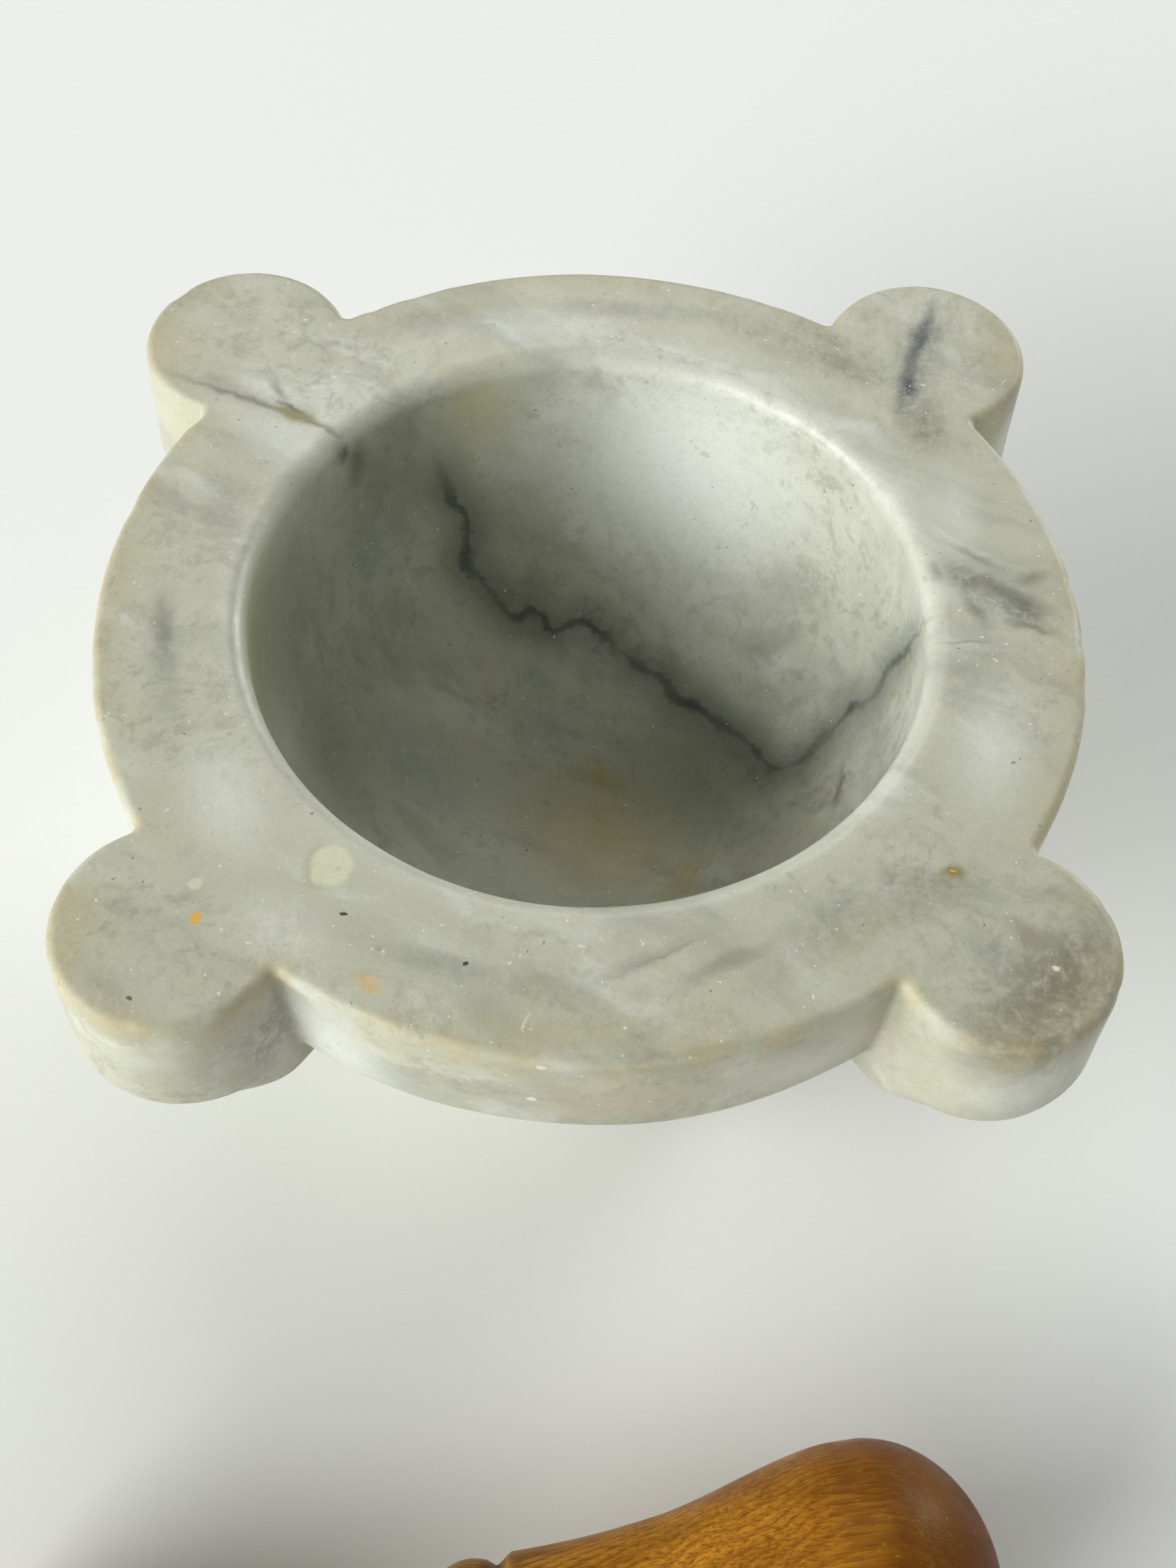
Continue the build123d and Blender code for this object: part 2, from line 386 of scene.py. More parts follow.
# broad stains, painted shade and painted light in millimetres: colour, amount, centre, half sizes, turn
# about Z in degrees
STAINS_SHADE_AND_LIGHT = [
    ("grime", 0.34, (90, -92, 124), (28, 17, 8), 45),
    ("bright", 0.45, (-72, 50, 124), (22, 9, 6), -28),
    ("bright", 0.40, (-76, -50, 124), (13, 24, 6), 20),
    ("bright", 0.40, (86, -34, 124), (13, 26, 6), -15),
    ("bright", 0.30, (84, 34, 124), (10, 16, 6), 0),
    ("bright", 0.35, (-12, 90, 124), (34, 8, 6), 0),
    ("brown", 0.80, (86, -106, 122), (22, 12, 12), 0),
    ("brown", 0.45, (104, -78, 123), (14, 18, 10), 0),
    ("tan", 0.75, (-107, -84, 124), (13, 26, 9), -15),
    ("tan", 0.60, (-88, -106, 124), (26, 9, 9), -18),
    ("tan", 0.55, (-10, -104, 124), (60, 7, 9), 0),
    ("tan", 0.55, (-104, 84, 124), (12, 26, 9), 15),
    ("tan", 0.45, (104, 84, 124), (12, 26, 9), -15),
    ("tan", 0.45, (106, -20, 124), (7, 40, 9), 10),
    ("tan", 0.45, (-106, 10, 124), (8, 46, 9), 0),
    ("tan", 0.40, (0, 106, 124), (50, 7, 9), 0),
    # painted light: the bowl's back wall made paler where the light falls on it
    ("bright", 0.95, (22, 68, 92), (50, 40, 46), -20),
    # painted shade: the bowl's left wall and its upper back darkened where shade falls
    ("patina", 1.0, (-76, 2, 104), (36, 76, 58), 0),
    ("patina", 0.5, (-50, 56, 104), (34, 34, 44), 0),
    ("grime", 0.40, (62, 78, 124), (16, 5, 5), -35),
    ("grime", 0.45, (80, 60, 124), (7, 16, 5), -10),
    ("cloud", 0.60, (-60, -40, 124), (10, 24, 6), 30),
    ("cloud", 0.55, (-84, 30, 124), (9, 18, 6), 10),
    ("brown", 0.35, (-40, 92, 124), (22, 7, 6), 20),
    ("vein", 0.95, (77.2, 71.5, 124), (9, 4.2, 4), 78),
    ("vein", 0.55, (83, 90, 124), (9, 5.5, 4), 60),
    ("grime", 0.45, (75, 63, 124), (9, 4, 4), 95),
    ("cloud", 0.75, (81, 82, 124), (25, 10, 5), 70),
    ("brown", 0.35, (82.5, 56, 124), (14, 8, 6), -55),
    ("brown", 0.30, (98, 78, 124), (20, 13, 6), -35),
    ("cloud", 0.90, (92, 7, 124), (18, 11, 6), -40),
    ("grime", 0.75, (98, 3, 124), (8, 5.5, 5), -30),
    ("grime", 0.70, (84, 12, 124), (9, 3.6, 5), -48),
    ("cloud", 0.60, (-88, 67, 124), (24, 5, 4), -20),
    ("white", 0.55, (-78, 66, 124), (12, 4.6, 4), -28),
    ("cloud", 0.60, (-30, -89, 124), (20, 4, 6), -12),
    ("cloud", 0.55, (48, -76, 124), (22, 5, 6), 30),
    ("cloud", 0.50, (10, 96, 124), (34, 5, 6), -6),
    ("brown", 0.50, (52, 84, 124), (30, 10, 6), -30),
    ("grime", 0.30, (58, 88, 124), (16, 4, 6), -30),
    ("brown", 0.35, (-100, 100, 124), (20, 9, 8), 45),
    ("brown", 0.40, (52, -80, 124), (34, 8, 8), 30),
    ("brown", 0.35, (-10, -94, 124), (16, 6, 8), -10),
    ("white", 0.35, (-62, -82, 124), (18, 12, 8), -30),
    ("white", 0.35, (70, 36, 124), (12, 18, 8), -30),
    ("cloud", 0.55, (-93, -14, 124), (6, 30, 6), 8),
    ("brown", 0.45, (-93, -99, 122), (22, 5.5, 12), -46),
    ("brown", 0.95, (94, -92, 122), (28, 16, 12), 45),
    ("grime", 0.42, (82, -99, 124), (20, 8, 8), 12),
    ("cloud", 0.45, (82, -86, 124), (13, 7, 6), -35),
    ("grime", 0.30, (70, -70, 124), (16, 7, 6), -10),
    ("vein", 0.55, (-31, 60.5, 70), (3.4, 4, 4.6), -30),
    ("vein", 0.50, (48.1, 8, 51), (3.2, 3.6, 3), 0),
    ("orange", 0.70, (5, -2, 34), (36, 29, 13), -25),
    ("orange", 0.75, (6, 15, 34), (15, 7, 8), -30),
    ("orange", 0.85, (26, -20, 38), (17, 8, 10), 60),
    ("orange", 0.45, (21, -3.5, 34), (12, 7, 7), -70),
    # painted shade: the bowl's left wall, front, bottom and upper back darkened
    ("patina", 0.74, (-62, -8, 78), (34, 60, 48), 0),
    ("patina", 0.60, (0, -40, 52), (66, 40, 34), 0),
    ("patina", 0.75, (30, 10, 42), (46, 30, 20), -40),
    ("patina", 0.40, (-20, 56, 76), (34, 24, 44), -10),
    ("bluish", 0.55, (-40, 10, 50), (26, 18, 22), -50),
    ("bluish", 0.50, (-10, 30, 38), (20, 12, 12), -40),
    ("olive", 0.25, (-28, 72, 116), (15, 8, 17), -15),
    # painted light: the bowl's upper back wall near the lip made paler
    ("pale", 0.60, (-26, 72, 110), (20, 11, 24), -15),
    ("bluish", 0.60, (-55, 49, 84), (14, 14, 18), -50),
    ("bluish", 0.50, (-12, 40, 44), (15, 8, 8), -40),
    ("bluish", 0.45, (-66, 98, 96), (20, 20, 20), 0),
    # painted light on the front-left outer wall
    ("bright", 0.80, (-55, -95, 102), (30, 15, 28), 0),
    ("bluish", 0.50, (-40, -100, 96), (30, 12, 14), 0),
    # painted shade on the bowl's right wall
    ("patina", 0.35, (68, 16, 98), (16, 40, 30), 0),
    # painted light on the outer walls that face right, at the front and on two lugs
    ("bright", 0.40, (44, -102, 104), (26, 12, 16), 20),
    ("bright", 0.45, (90, -106, 102), (24, 12, 17), 0),
    ("bright", 0.50, (108, 66, 105), (12, 20, 19), 0),
    # painted shade in the hollows where the two front lugs meet the rim
    ("notch", 0.75, (-67, -93, 104), (13, 16, 22), 0),
    ("notch", 0.60, (70, -92, 104), (10, 12, 20), 0),
    ("rose", 0.55, (4, -110, 104), (26, 8, 15), 0),
    ("rose", 0.45, (60, -92, 100), (17, 12, 16), 0),
    ("rose", 0.40, (-112, -86, 104), (10, 14, 16), 0),
    ("cloud", 0.70, (-60, 84, 70), (30, 16, 12), 20),
    ("orange", 0.35, (-96, 24, 52), (8, 18, 9), 0),
]
# small marks: colour, amount, softness, centre, half sizes, turn in degrees about Z or X, Y and Z
MARKS = [
    ("grime", 0.60, 1.0, (20, 96, 76), (2.2, 16, 46), (0, 38, 0)),
    ("vein", 0.50, 1.0, (-95, 10, 68), (16, 2.0, 44), (-32, 0, 0)),
    ("grime", 0.55, 1.0, (96, -12, 62), (16, 1.8, 46), (28, 0, 0)),
    ("grime", 0.70, 1.0, (78, 14, 124), (5, 2.2, 5), -70),
    ("grime", 0.55, 1.0, (98, -2, 124), (9, 1.8, 5), -20),
    ("grime", 0.45, 1.0, (88, 18, 124), (9, 1.6, 5), -35),
    ("olive", 0.30, 0.5, (-54, -66.8, 124), (6.9, 5.8, 4), 80),
    ("yellow", 0.95, 0.3, (-53, -66.4, 124), (5.9, 4.9, 4), 80),
    ("yellow", 0.75, 0.5, (-80.1, -70.9, 124), (2.2, 1.9, 4), 0),
    ("vein", 0.95, 0.8, (-60.6, 52.6, 118), (4.6, 3.4, 5.5), -55),
    ("grime", 0.75, 1.0, (-58, 55.5, 112), (8, 5, 11), -40),
    ("grime", 0.60, 1.0, (-75, 66, 124), (7, 2.4, 4), -60),
    ("grime", 0.60, 1.0, (100, 12, 124), (6, 3.2, 5), 20),
    ("grime", 0.65, 1.0, (86, 3, 124), (8, 2.8, 5), -62),
    ("grime", 0.45, 1.0, (-94, -6, 124), (3.5, 14, 5), 10),
    ("grime", 0.40, 1.0, (26, -88, 124), (16, 3.2, 5), 24),
    ("brown", 0.60, 1.0, (88, -80, 124), (9, 4, 5), -40),
    ("vein", 0.80, 1.0, (80.6, 86, 124), (24, 2.8, 4), 70),
    ("grime", 0.60, 1.0, (92, 9, 124), (14, 2.6, 5), -35),
    ("grime", 0.42, 0.9, (82, -6.2, 124), (9, 0.7, 4), 1),
    ("grime", 0.65, 1.0, (-82, 63, 124), (30, 1.5, 4), -22),
    ("olive", 0.95, 0.8, (-70.3, 58.2, 124), (8.2, 3.2, 4), -28),
    ("vein", 0.60, 0.9, (-72, 60.6, 124), (7, 0.9, 4), -34),
    ("grime", 0.80, 0.9, (-64, 54.6, 124), (9, 1.2, 5), -26),
    ("cloud", 0.55, 1.0, (11, -87, 124), (19, 2.6, 5), 27),
    ("grime", 0.25, 1.0, (14, -86, 124), (16, 0.8, 5), 27),
    ("gold", 1.0, 0.3, (-78.9, -78.9, 124), (1.8, 1.4, 2), 60),
    ("gold", 0.50, 0.9, (-43.9, -93.5, 124), (4.5, 2.8, 4), -35),
    ("black", 0.90, 0.3, (-49.5, -78.1, 124), (0.8, 0.5, 2), 20),
    ("black", 0.90, 0.3, (-24.9, -88.8, 124), (0.7, 0.45, 2), 60),
    ("black", 0.80, 0.3, (-89.9, -97, 124), (0.9, 0.5, 2), -20),
    ("yellow", 0.80, 0.3, (-13, -101, 124), (2.2, 0.6, 3), 70),
    ("olive", 0.95, 0.8, (74.2, -65.6, 124), (3.6, 2.8, 3), 15),
    ("gold", 0.85, 0.3, (74.1, -65.4, 124), (0.7, 0.5, 2), 15),
    ("white", 0.90, 0.3, (92.3, -87.6, 124), (0.9, 0.5, 2), 10),
    ("white", 0.90, 0.3, (-9.7, -109.2, 121.5), (1.6, 3, 0.9), 0),
    ("white", 0.90, 0.3, (-11.4, -109, 105.1), (1.2, 3, 1.0), 0),
    ("vein", 0.55, 0.9, (15.2, 43.2, 47), (4.6, 2.4, 3), -38),
    ("vein", 0.50, 0.9, (28.5, 32, 45), (5, 2.6, 3), -42),
    ("vein", 0.45, 0.9, (65.5, 11.7, 73), (3, 2.4, 3.4), 0),
    ("grime", 0.65, 0.9, (61.8, -9, 68.2), (1.6, 10.5, 4), -14),
    ("grime", 0.50, 1.0, (112, 20, 92), (10, 30, 2.0), 0),
    ("grime", 0.45, 1.0, (20, 112, 98), (34, 10, 1.6), 0),
]
MARK_COLOURS = {
    "vein": (0.055, 0.065, 0.068),
    "grime": (0.125, 0.125, 0.088),
    "cloud": (0.29, 0.30, 0.24),
    "brown": (0.265, 0.24, 0.15),
    "olive": (0.24, 0.215, 0.065),
    "yellow": (0.62, 0.64, 0.44),
    "orange": (0.45, 0.35, 0.14),
    "gold": (0.70, 0.42, 0.08),
    "black": (0.012, 0.012, 0.01),
    "white": (0.74, 0.75, 0.68),
    "bluish": (0.34, 0.39, 0.36),
    "rose": (0.52, 0.44, 0.33),
    # colour of the painted shade inside the bowl
    "patina": (0.25, 0.27, 0.18),
    # colour of the painted light on the bowl's upper back wall
    "pale": (0.62, 0.59, 0.37),
    # colour of the painted shade in the hollows by the front lugs
    "notch": (0.31, 0.27, 0.235),
    "tan": (0.455, 0.425, 0.26),
    # colour of the pale patches and of the painted light
    "bright": (0.80, 0.84, 0.79),
}
EVEN_COLOURS = ("bright", "patina", "orange")  # the others are blotchy


def stain_shade_and_light_masks(rings):
    """For every colour of stain, painted shade and painted light, how strong it is at every point:
    the strongest of its entries, each fading smoothly from its middle to the edge of its ellipsoid."""
    masks = {}
    for name, amount, centre, half, turn in STAINS_SHADE_AND_LIGHT:
        turn = math.radians(turn)
        c, s = math.cos(turn), math.sin(turn)
        own = np.array([[c, -s, 0], [s, c, 0], [0, 0, 1]])
        reach = np.linalg.norm((rings - centre) @ own / half, axis=-1)
        strength = amount * smooth(1 - reach)
        masks["stain_" + name] = np.maximum(masks.get("stain_" + name, 0), strength)
    return masks


def make_mortar(settings):
    """The mortar's mesh, with slow unevenness all over, small nicks along the outer top edge, and
    the masks that its stone reads: edge on the outer rounding, lip on the bowl's lip, bowl inside
    the bowl, the place across, along and near the dark vein, and one for each colour of stain,
    painted shade and painted light."""
    parts = mortar_rings(settings)
    rings = np.concatenate(parts)
    counts = np.cumsum([len(part) for part in parts])
    row = np.arange(len(rings))
    lip_middle, edge_middle = counts[2] - len(parts[2]) / 2, counts[4] - len(parts[4]) / 2
    edge = np.exp(-(((row - edge_middle) / 6.0) ** 2))
    lip = np.exp(-(((row - lip_middle) / 4.0) ** 2))

    steady = smooth(rings[..., 2] / STEADY_HEIGHT)[..., None]
    sway = np.stack([wander(rings, SWAY_SIZE, seed) for seed in (1, 2, 3)], -1)
    ripple = np.stack([wander(rings, RIPPLE_SIZE, seed) for seed in (4, 5, 6)], -1)
    nicks = smooth((wander(rings, NICK_SIZE, 7) - 0.25) / 0.4) * edge[:, None]
    middle = np.array([0.0, 0.0, HEIGHT - 20])
    inwards = middle - rings
    inwards /= np.linalg.norm(inwards, axis=-1)[..., None]
    across, along, near = vein_masks(rings)
    rings = rings + settings.unevenness / MM * (sway + RIPPLE_SHARE * ripple) * steady
    rings = rings + NICK_DEPTH * nicks[..., None] * inwards
    low, high = rings[0].mean(0), rings[-1].mean(0)
    low[2], high[2] = rings[0, :, 2].mean() - 0.05, 0.0
    in_bowl = smooth((counts[2] - 1.5 - row) / 5)
    masks = {
        "edge": edge[:, None], "lip": lip[:, None], "bowl": in_bowl[:, None],
        "vein_across": across, "vein_along": along, "vein_near": near * in_bowl[:, None],
        **stain_shade_and_light_masks(rings),
    }
    # the painted shade is kept inside the bowl
    masks["stain_patina"] = masks["stain_patina"] * in_bowl[:, None]
    return closed_surface("marble_mortar", rings, low, high, masks)


# ---------------------------------------------------------------- pestle

HEAD_CENTRE = np.array([61.7, -186.9, 31.06])
PESTLE_TURN = math.radians(3.6)
SWELL_DISTANCE = 184.0  # from the head's widest ring to the handle's
GROOVE_DISTANCE = 79.2  # and to the middle of the groove
END_LENGTH = 16.0  # from the handle's widest ring to its rounded end
PESTLE_COLUMNS = 128


def pestle_axes(settings):
    """The pestle's own axes: along it towards the head, level across it, and up."""
    rise = (settings.head_radius - settings.handle_radius) / MM / SWELL_DISTANCE
    level = math.sqrt(1 - rise * rise)
    along = np.array([math.cos(PESTLE_TURN) * level, math.sin(PESTLE_TURN) * level, rise])
    across = np.array([-math.sin(PESTLE_TURN), math.cos(PESTLE_TURN), 0.0])
    return np.stack([along, across, np.cross(along, across)])


def ellipse_end(centre, long, radius, start, stop, count):
    """A rounded end in profile: distance and radius on an ellipse from start to stop angle."""
    a = np.linspace(start, stop, count)
    return np.stack([centre + long * np.cos(a), radius * np.sin(a)], -1)


def curve_through(points, count):
    """A smooth curve through a few points, in two or three dimensions: a cubic between each pair,
    whose slopes are the mean of those to the neighbours."""
    points = np.array(points, float)
    t = np.linspace(0, len(points) - 1, count)
    slopes = np.gradient(points, axis=0)
    i = np.minimum(t.astype(int), len(points) - 2)
    f = (t - i)[:, None]
    a, b, da, db = points[i], points[i + 1], slopes[i], slopes[i + 1]
    return (
        (2 * f**3 - 3 * f**2 + 1) * a + (f**3 - 2 * f**2 + f) * da
        + (3 * f**2 - 2 * f**3) * b + (f**3 - f**2) * db
    )


def pestle_profile(settings):
    """Distance from the head's widest ring (towards the head positive) and radius, from the
    rounded end of the head to the rounded end of the handle."""
    head, dome, grip = (v / MM for v in (settings.head_radius, settings.dome, settings.handle_radius))
    return np.concatenate([
        ellipse_end(0, dome, head, 0.05, QUARTER, 30),
        curve_through([(0, head), (-8, 30.3), (-16, 28.2), (-24.5, 25.2), (-33, 22), (-41.5, 19.2),
                       (-50, 17.3), (-58, 15.8), (-67, 14.6), (-75.4, 13.75)], 60)[1:],
        [(-76.0, 13.3), (-77.2, 12.2), (-78.3, 11.35), (-78.9, 11.3), (-79.8, 11.9), (-80.8, 12.5)],
        ellipse_end(-84, 11.5, 13.0, QUARTER - 0.25, QUARTER + 1.0, 16),
        curve_through([(-95, 10.2), (-99, 9.6), (-120, 10.0), (-145, 11.8), (-168, 14.2), (-184, grip)], 50),
        ellipse_end(-SWELL_DISTANCE, END_LENGTH, grip, QUARTER, math.pi - 0.06, 20)[1:],
    ])


def make_pestle(settings):
    """The pestle turned on its axis: each profile point goes round in a ring, as its radius times
    cosine across and sine up, at its own distance along."""
    profile = pestle_profile(settings)
    axes = pestle_axes(settings)
    angle = -FULL_TURN * np.arange(PESTLE_COLUMNS) / PESTLE_COLUMNS
    ring = np.cos(angle)[:, None] * axes[1] + np.sin(angle)[:, None] * axes[2]
    rings = HEAD_CENTRE + profile[:, 0, None, None] * axes[0] + profile[:, 1, None, None] * ring
    ends = [HEAD_CENTRE + d * axes[0] for d in (settings.dome / MM, -SWELL_DISTANCE - END_LENGTH)]
    return closed_surface("beech_pestle", rings, *ends)


# ---------------------------------------------------------------- materials


class Nodes:
    """One material's node tree. Values given to its helpers may be sockets, numbers or tuples,
    and every helper returns the socket of its result."""

    def __init__(self, name):
        self.material = bpy.data.materials.new(name)
        self.material.use_nodes = True
        self.tree = self.material.node_tree
        self.shader = self.tree.nodes["Principled BSDF"]
        place = self.node("TexCoord", {}).outputs["Object"]
        self.place = self.vector("MULTIPLY", place, (1 / MM, 1 / MM, 1 / MM))

    def put(self, socket, value):
        """Sets a socket to a value, or links another socket to it."""
        if isinstance(value, bpy.types.NodeSocket):
            self.tree.links.new(value, socket)
        elif socket.type == "RGBA" and len(value) == 3:
            socket.default_value = (*value, 1.0)
        else:
            socket.default_value = value

    def node(self, kind, inputs, **settings):
        """A new node with its settings and inputs."""
        node = self.tree.nodes.new("ShaderNode" + kind)
        for key, value in settings.items():
            setattr(node, key, value)
        for key, value in inputs.items():
            self.put(node.inputs[key], value)
        return node

    def math(self, operation, *values):
        """A Math node's result."""
        return self.node("Math", dict(enumerate(values)), operation=operation).outputs[0]

    def vector(self, operation, *values):
        """A Vector Math node's result, which is a number for a length or a dot product."""
        node = self.node("VectorMath", dict(enumerate(values)), operation=operation)
        return node.outputs[1 if operation in ("LENGTH", "DOT_PRODUCT") else 0]

    def noise(self, size, detail=2.0, rough=0.5, place=None, shift=0.0, distortion=0.0):
        """Noise whose lumps are about size millimetres across, from 0 to 1 around 0.5."""
        inputs = {"Vector": place or self.place, "W": shift, "Scale": 1 / size, "Detail": detail,
                  "Roughness": rough, "Distortion": distortion}
        return self.node("TexNoise", inputs, noise_dimensions="4D").outputs[0]

    def turned(self, centre, size, turn, place=None):
        """Coordinates seen from centre, in units of size along each axis, after a turn in degrees
        about Z, or about X, Y and Z in that order."""
        turns = turn if isinstance(turn, tuple) else (0.0, 0.0, turn)
        turns = tuple(math.radians(v) for v in turns)
        inputs = {"Vector": place or self.place, "Location": centre, "Rotation": turns, "Scale": size}
        return self.node("Mapping", inputs, vector_type="TEXTURE").outputs[0]

    def step(self, value, low, high, top=1.0):
        """Goes smoothly from 0 at low to top at high."""
        inputs = {"Value": value, "From Min": low, "From Max": high, "To Max": top}
        return self.node("MapRange", inputs, interpolation_type="SMOOTHSTEP").outputs[0]

    def mix(self, amount, first, second, blend="MIX"):
        """Mixes two colours."""
        node = self.node("Mix", {}, data_type="RGBA", blend_type=blend)
        factor, a, b = node.inputs[0], node.inputs[6], node.inputs[7]
        for socket, value in ((factor, amount), (a, first), (b, second)):
            self.put(socket, value)
        return node.outputs[2]

    def moved(self, reach, size, detail=2.0):
        """The place shifted by up to reach millimetres, differently every size millimetres."""
        inputs = {"Vector": self.place, "Scale": 1 / size, "Detail": detail}
        drift = self.node("TexNoise", inputs).outputs[1]
        drift = self.vector("SUBTRACT", drift, (0.5, 0.5, 0.5))
        drift = self.vector("MULTIPLY", drift, (2 * reach, 2 * reach, 2 * reach))
        return self.vector("ADD", self.place, drift)

    def attribute(self, name):
        """A mask of the mesh, by name."""
        return self.node("Attribute", {}, attribute_name=name).outputs["Fac"]

    def speckle(self, ground, colour, size, rarity, amount, shift):
        """Scatters small specks of a colour over the ground."""
        specks = self.step(self.noise(size, 1.0, shift=shift), rarity, rarity + 0.035, amount)
        return self.mix(specks, ground, colour)


def vein_amount(nodes):
    """How dark the long vein is at a place: a jagged core that swells and thins along its course,
    inside a soft shadow."""
    across, along = nodes.attribute("vein_across"), nodes.attribute("vein_along")
    wide = nodes.math("SUBTRACT", nodes.noise(6.5, 3.0, 0.6, shift=1.0), 0.5)
    fine = nodes.math("SUBTRACT", nodes.noise(1.5, 2.0, 0.6, shift=2.0), 0.5)
    across = nodes.math("ADD", across, nodes.math("MULTIPLY", wide, 4.6))
    across = nodes.math("ABSOLUTE", nodes.math("ADD", across, nodes.math("MULTIPLY", fine, 2.2)))
    width = nodes.step(nodes.noise(9.0, 2.0, shift=3.0), 0.34, 0.68, 1.9)
    width = nodes.math("ADD", width, 1.5)
    core = nodes.step(nodes.math("DIVIDE", across, width), 1.5, 0.0, 0.85)
    halo = nodes.step(across, 12.0, 0.0, 0.50)
    ends = nodes.math("MULTIPLY", nodes.step(along, 6.0, 24.0), nodes.step(along, 268.0, 214.0))
    strength = nodes.step(nodes.noise(14.0, 1.0, shift=4.0), 0.25, 0.6, 0.35)
    both = nodes.math("MULTIPLY", core, nodes.math("ADD", strength, 0.65))
    ends = nodes.math("MULTIPLY", ends, nodes.attribute("vein_near"))
    return nodes.math("MULTIPLY", nodes.math("MAXIMUM", both, halo), ends)


def marble_material(settings):
    """Pale greenish-grey marble: drifting grey clouds, crystal grain and specks, one dark jagged
    vein through the bowl, stains and small marks, painted shade inside the bowl and in the hollows
    by the front lugs, painted light on the bowl's back wall and on some outer walls, beige worn
    edges, a painted highlight on the lip."""
    nodes = Nodes("marble")
    bowl, edge, lip = (nodes.attribute(name) for name in ("bowl", "edge", "lip"))
    adrift = nodes.moved(7.0, 22.0)
    jagged = nodes.moved(1.6, 4.0, 3.0)

    colour = nodes.mix(bowl, tuple(settings.stone), tuple(settings.bowl_stone))
    warm = nodes.step(nodes.noise(55.0, 2.0, shift=5.0), 0.45, 0.7, 0.5)
    colour = nodes.mix(warm, colour, (0.50, 0.49, 0.36))
    bands = nodes.turned((0, 0, 0), (2.6, 0.75, 1.3), -27.0, adrift)
    cloud = nodes.step(nodes.noise(24.0, 4.0, 0.6, bands, 6.0), 0.47, 0.70, 0.72)
    colour = nodes.mix(cloud, colour, tuple(settings.cloud))
    pale = nodes.step(nodes.noise(19.0, 3.0, 0.6, bands, 7.0), 0.50, 0.70, 0.62)
    colour = nodes.mix(pale, colour, (0.65, 0.675, 0.60))
    patches = nodes.step(nodes.noise(32.0, 2.0, 0.5, bands, 20.0), 0.36, 0.58)
    mottle = nodes.step(nodes.noise(4.2, 5.0, 0.74, adrift, 8.0), 0.47, 0.64, 0.56)
    mottle = nodes.math("MULTIPLY", mottle, patches)
    colour = nodes.mix(mottle, colour, (0.31, 0.305, 0.225))

    blotchy = nodes.step(nodes.noise(3.2, 5.0, 0.75, adrift, 19.0), 0.34, 0.60, 0.85)
    blotchy = nodes.math("ADD", blotchy, 0.45)
    for name in sorted({stain[0] for stain in STAINS_SHADE_AND_LIGHT}):
        stain = nodes.attribute("stain_" + name)
        if name not in EVEN_COLOURS:
            stain = nodes.math("MULTIPLY", stain, blotchy)
        colour = nodes.mix(stain, colour, MARK_COLOURS[name])
    for name, amount, softness, centre, half, turn in MARKS:
        reach = nodes.vector("LENGTH", nodes.turned(centre, half, turn, jagged))
        mark = nodes.step(reach, 1.0, 1.0 - softness, amount)
        colour = nodes.mix(mark, colour, MARK_COLOURS[name])
    colour = nodes.mix(vein_amount(nodes), colour, tuple(settings.vein))

    worn = nodes.step(nodes.noise(13.0, 3.0, 0.6, shift=11.0), 0.42, 0.62, 0.62)
    worn = nodes.math("MULTIPLY", edge, worn)
    colour = nodes.mix(worn, colour, tuple(settings.tint))
    # painted highlight: the bowl's lip made paler
    colour = nodes.mix(nodes.math("MULTIPLY", lip, 0.28), colour, (0.70, 0.72, 0.62))
    colour = nodes.speckle(colour, (0.74, 0.75, 0.66), 1.3, 0.735, 0.75, 12.0)
    colour = nodes.speckle(colour, (0.10, 0.10, 0.08), 1.5, 0.765, 0.6, 13.0)
    colour = nodes.speckle(colour, (0.24, 0.23, 0.17), 3.2, 0.71, 0.25, 14.0)
    grain = nodes.step(nodes.noise(0.8, 2.0, 0.7, shift=15.0), 0.3, 0.7)
    grain = nodes.mix(grain, (0.90, 0.90, 0.90), (1.08, 1.08, 1.08))
    colour = nodes.mix(0.5, colour, grain, "MULTIPLY")
    nodes.put(nodes.shader.inputs["Base Color"], colour)

    rough = nodes.step(nodes.noise(11.0, 4.0, 0.7, shift=16.0), 0.3, 0.7, 0.16)
    rough = nodes.math("ADD", rough, 0.34)
    rough = nodes.math("ADD", rough, nodes.math("MULTIPLY", edge, 0.14))
    nodes.put(nodes.shader.inputs["Roughness"], rough)
    nodes.put(nodes.shader.inputs["Specular IOR Level"], 0.42)
    nodes.put(nodes.shader.inputs["Subsurface Weight"], 0.15)
    nodes.put(nodes.shader.inputs["Subsurface Scale"], 2.5 * MM)
    nodes.put(nodes.shader.inputs["Subsurface Radius"], (1.0, 0.9, 0.65))

    fine = nodes.math("MULTIPLY", nodes.noise(1.1, 2.0, 0.6, shift=18.0), 0.05)
    height = nodes.math("ADD", nodes.noise(5.0, 3.0, 0.55, shift=17.0), fine)
    bump = nodes.node("Bump", {"Strength": 0.30, "Distance": 0.5 * MM, "Height": height})
    nodes.put(nodes.shader.inputs["Normal"], bump.outputs[0])
    return nodes.material


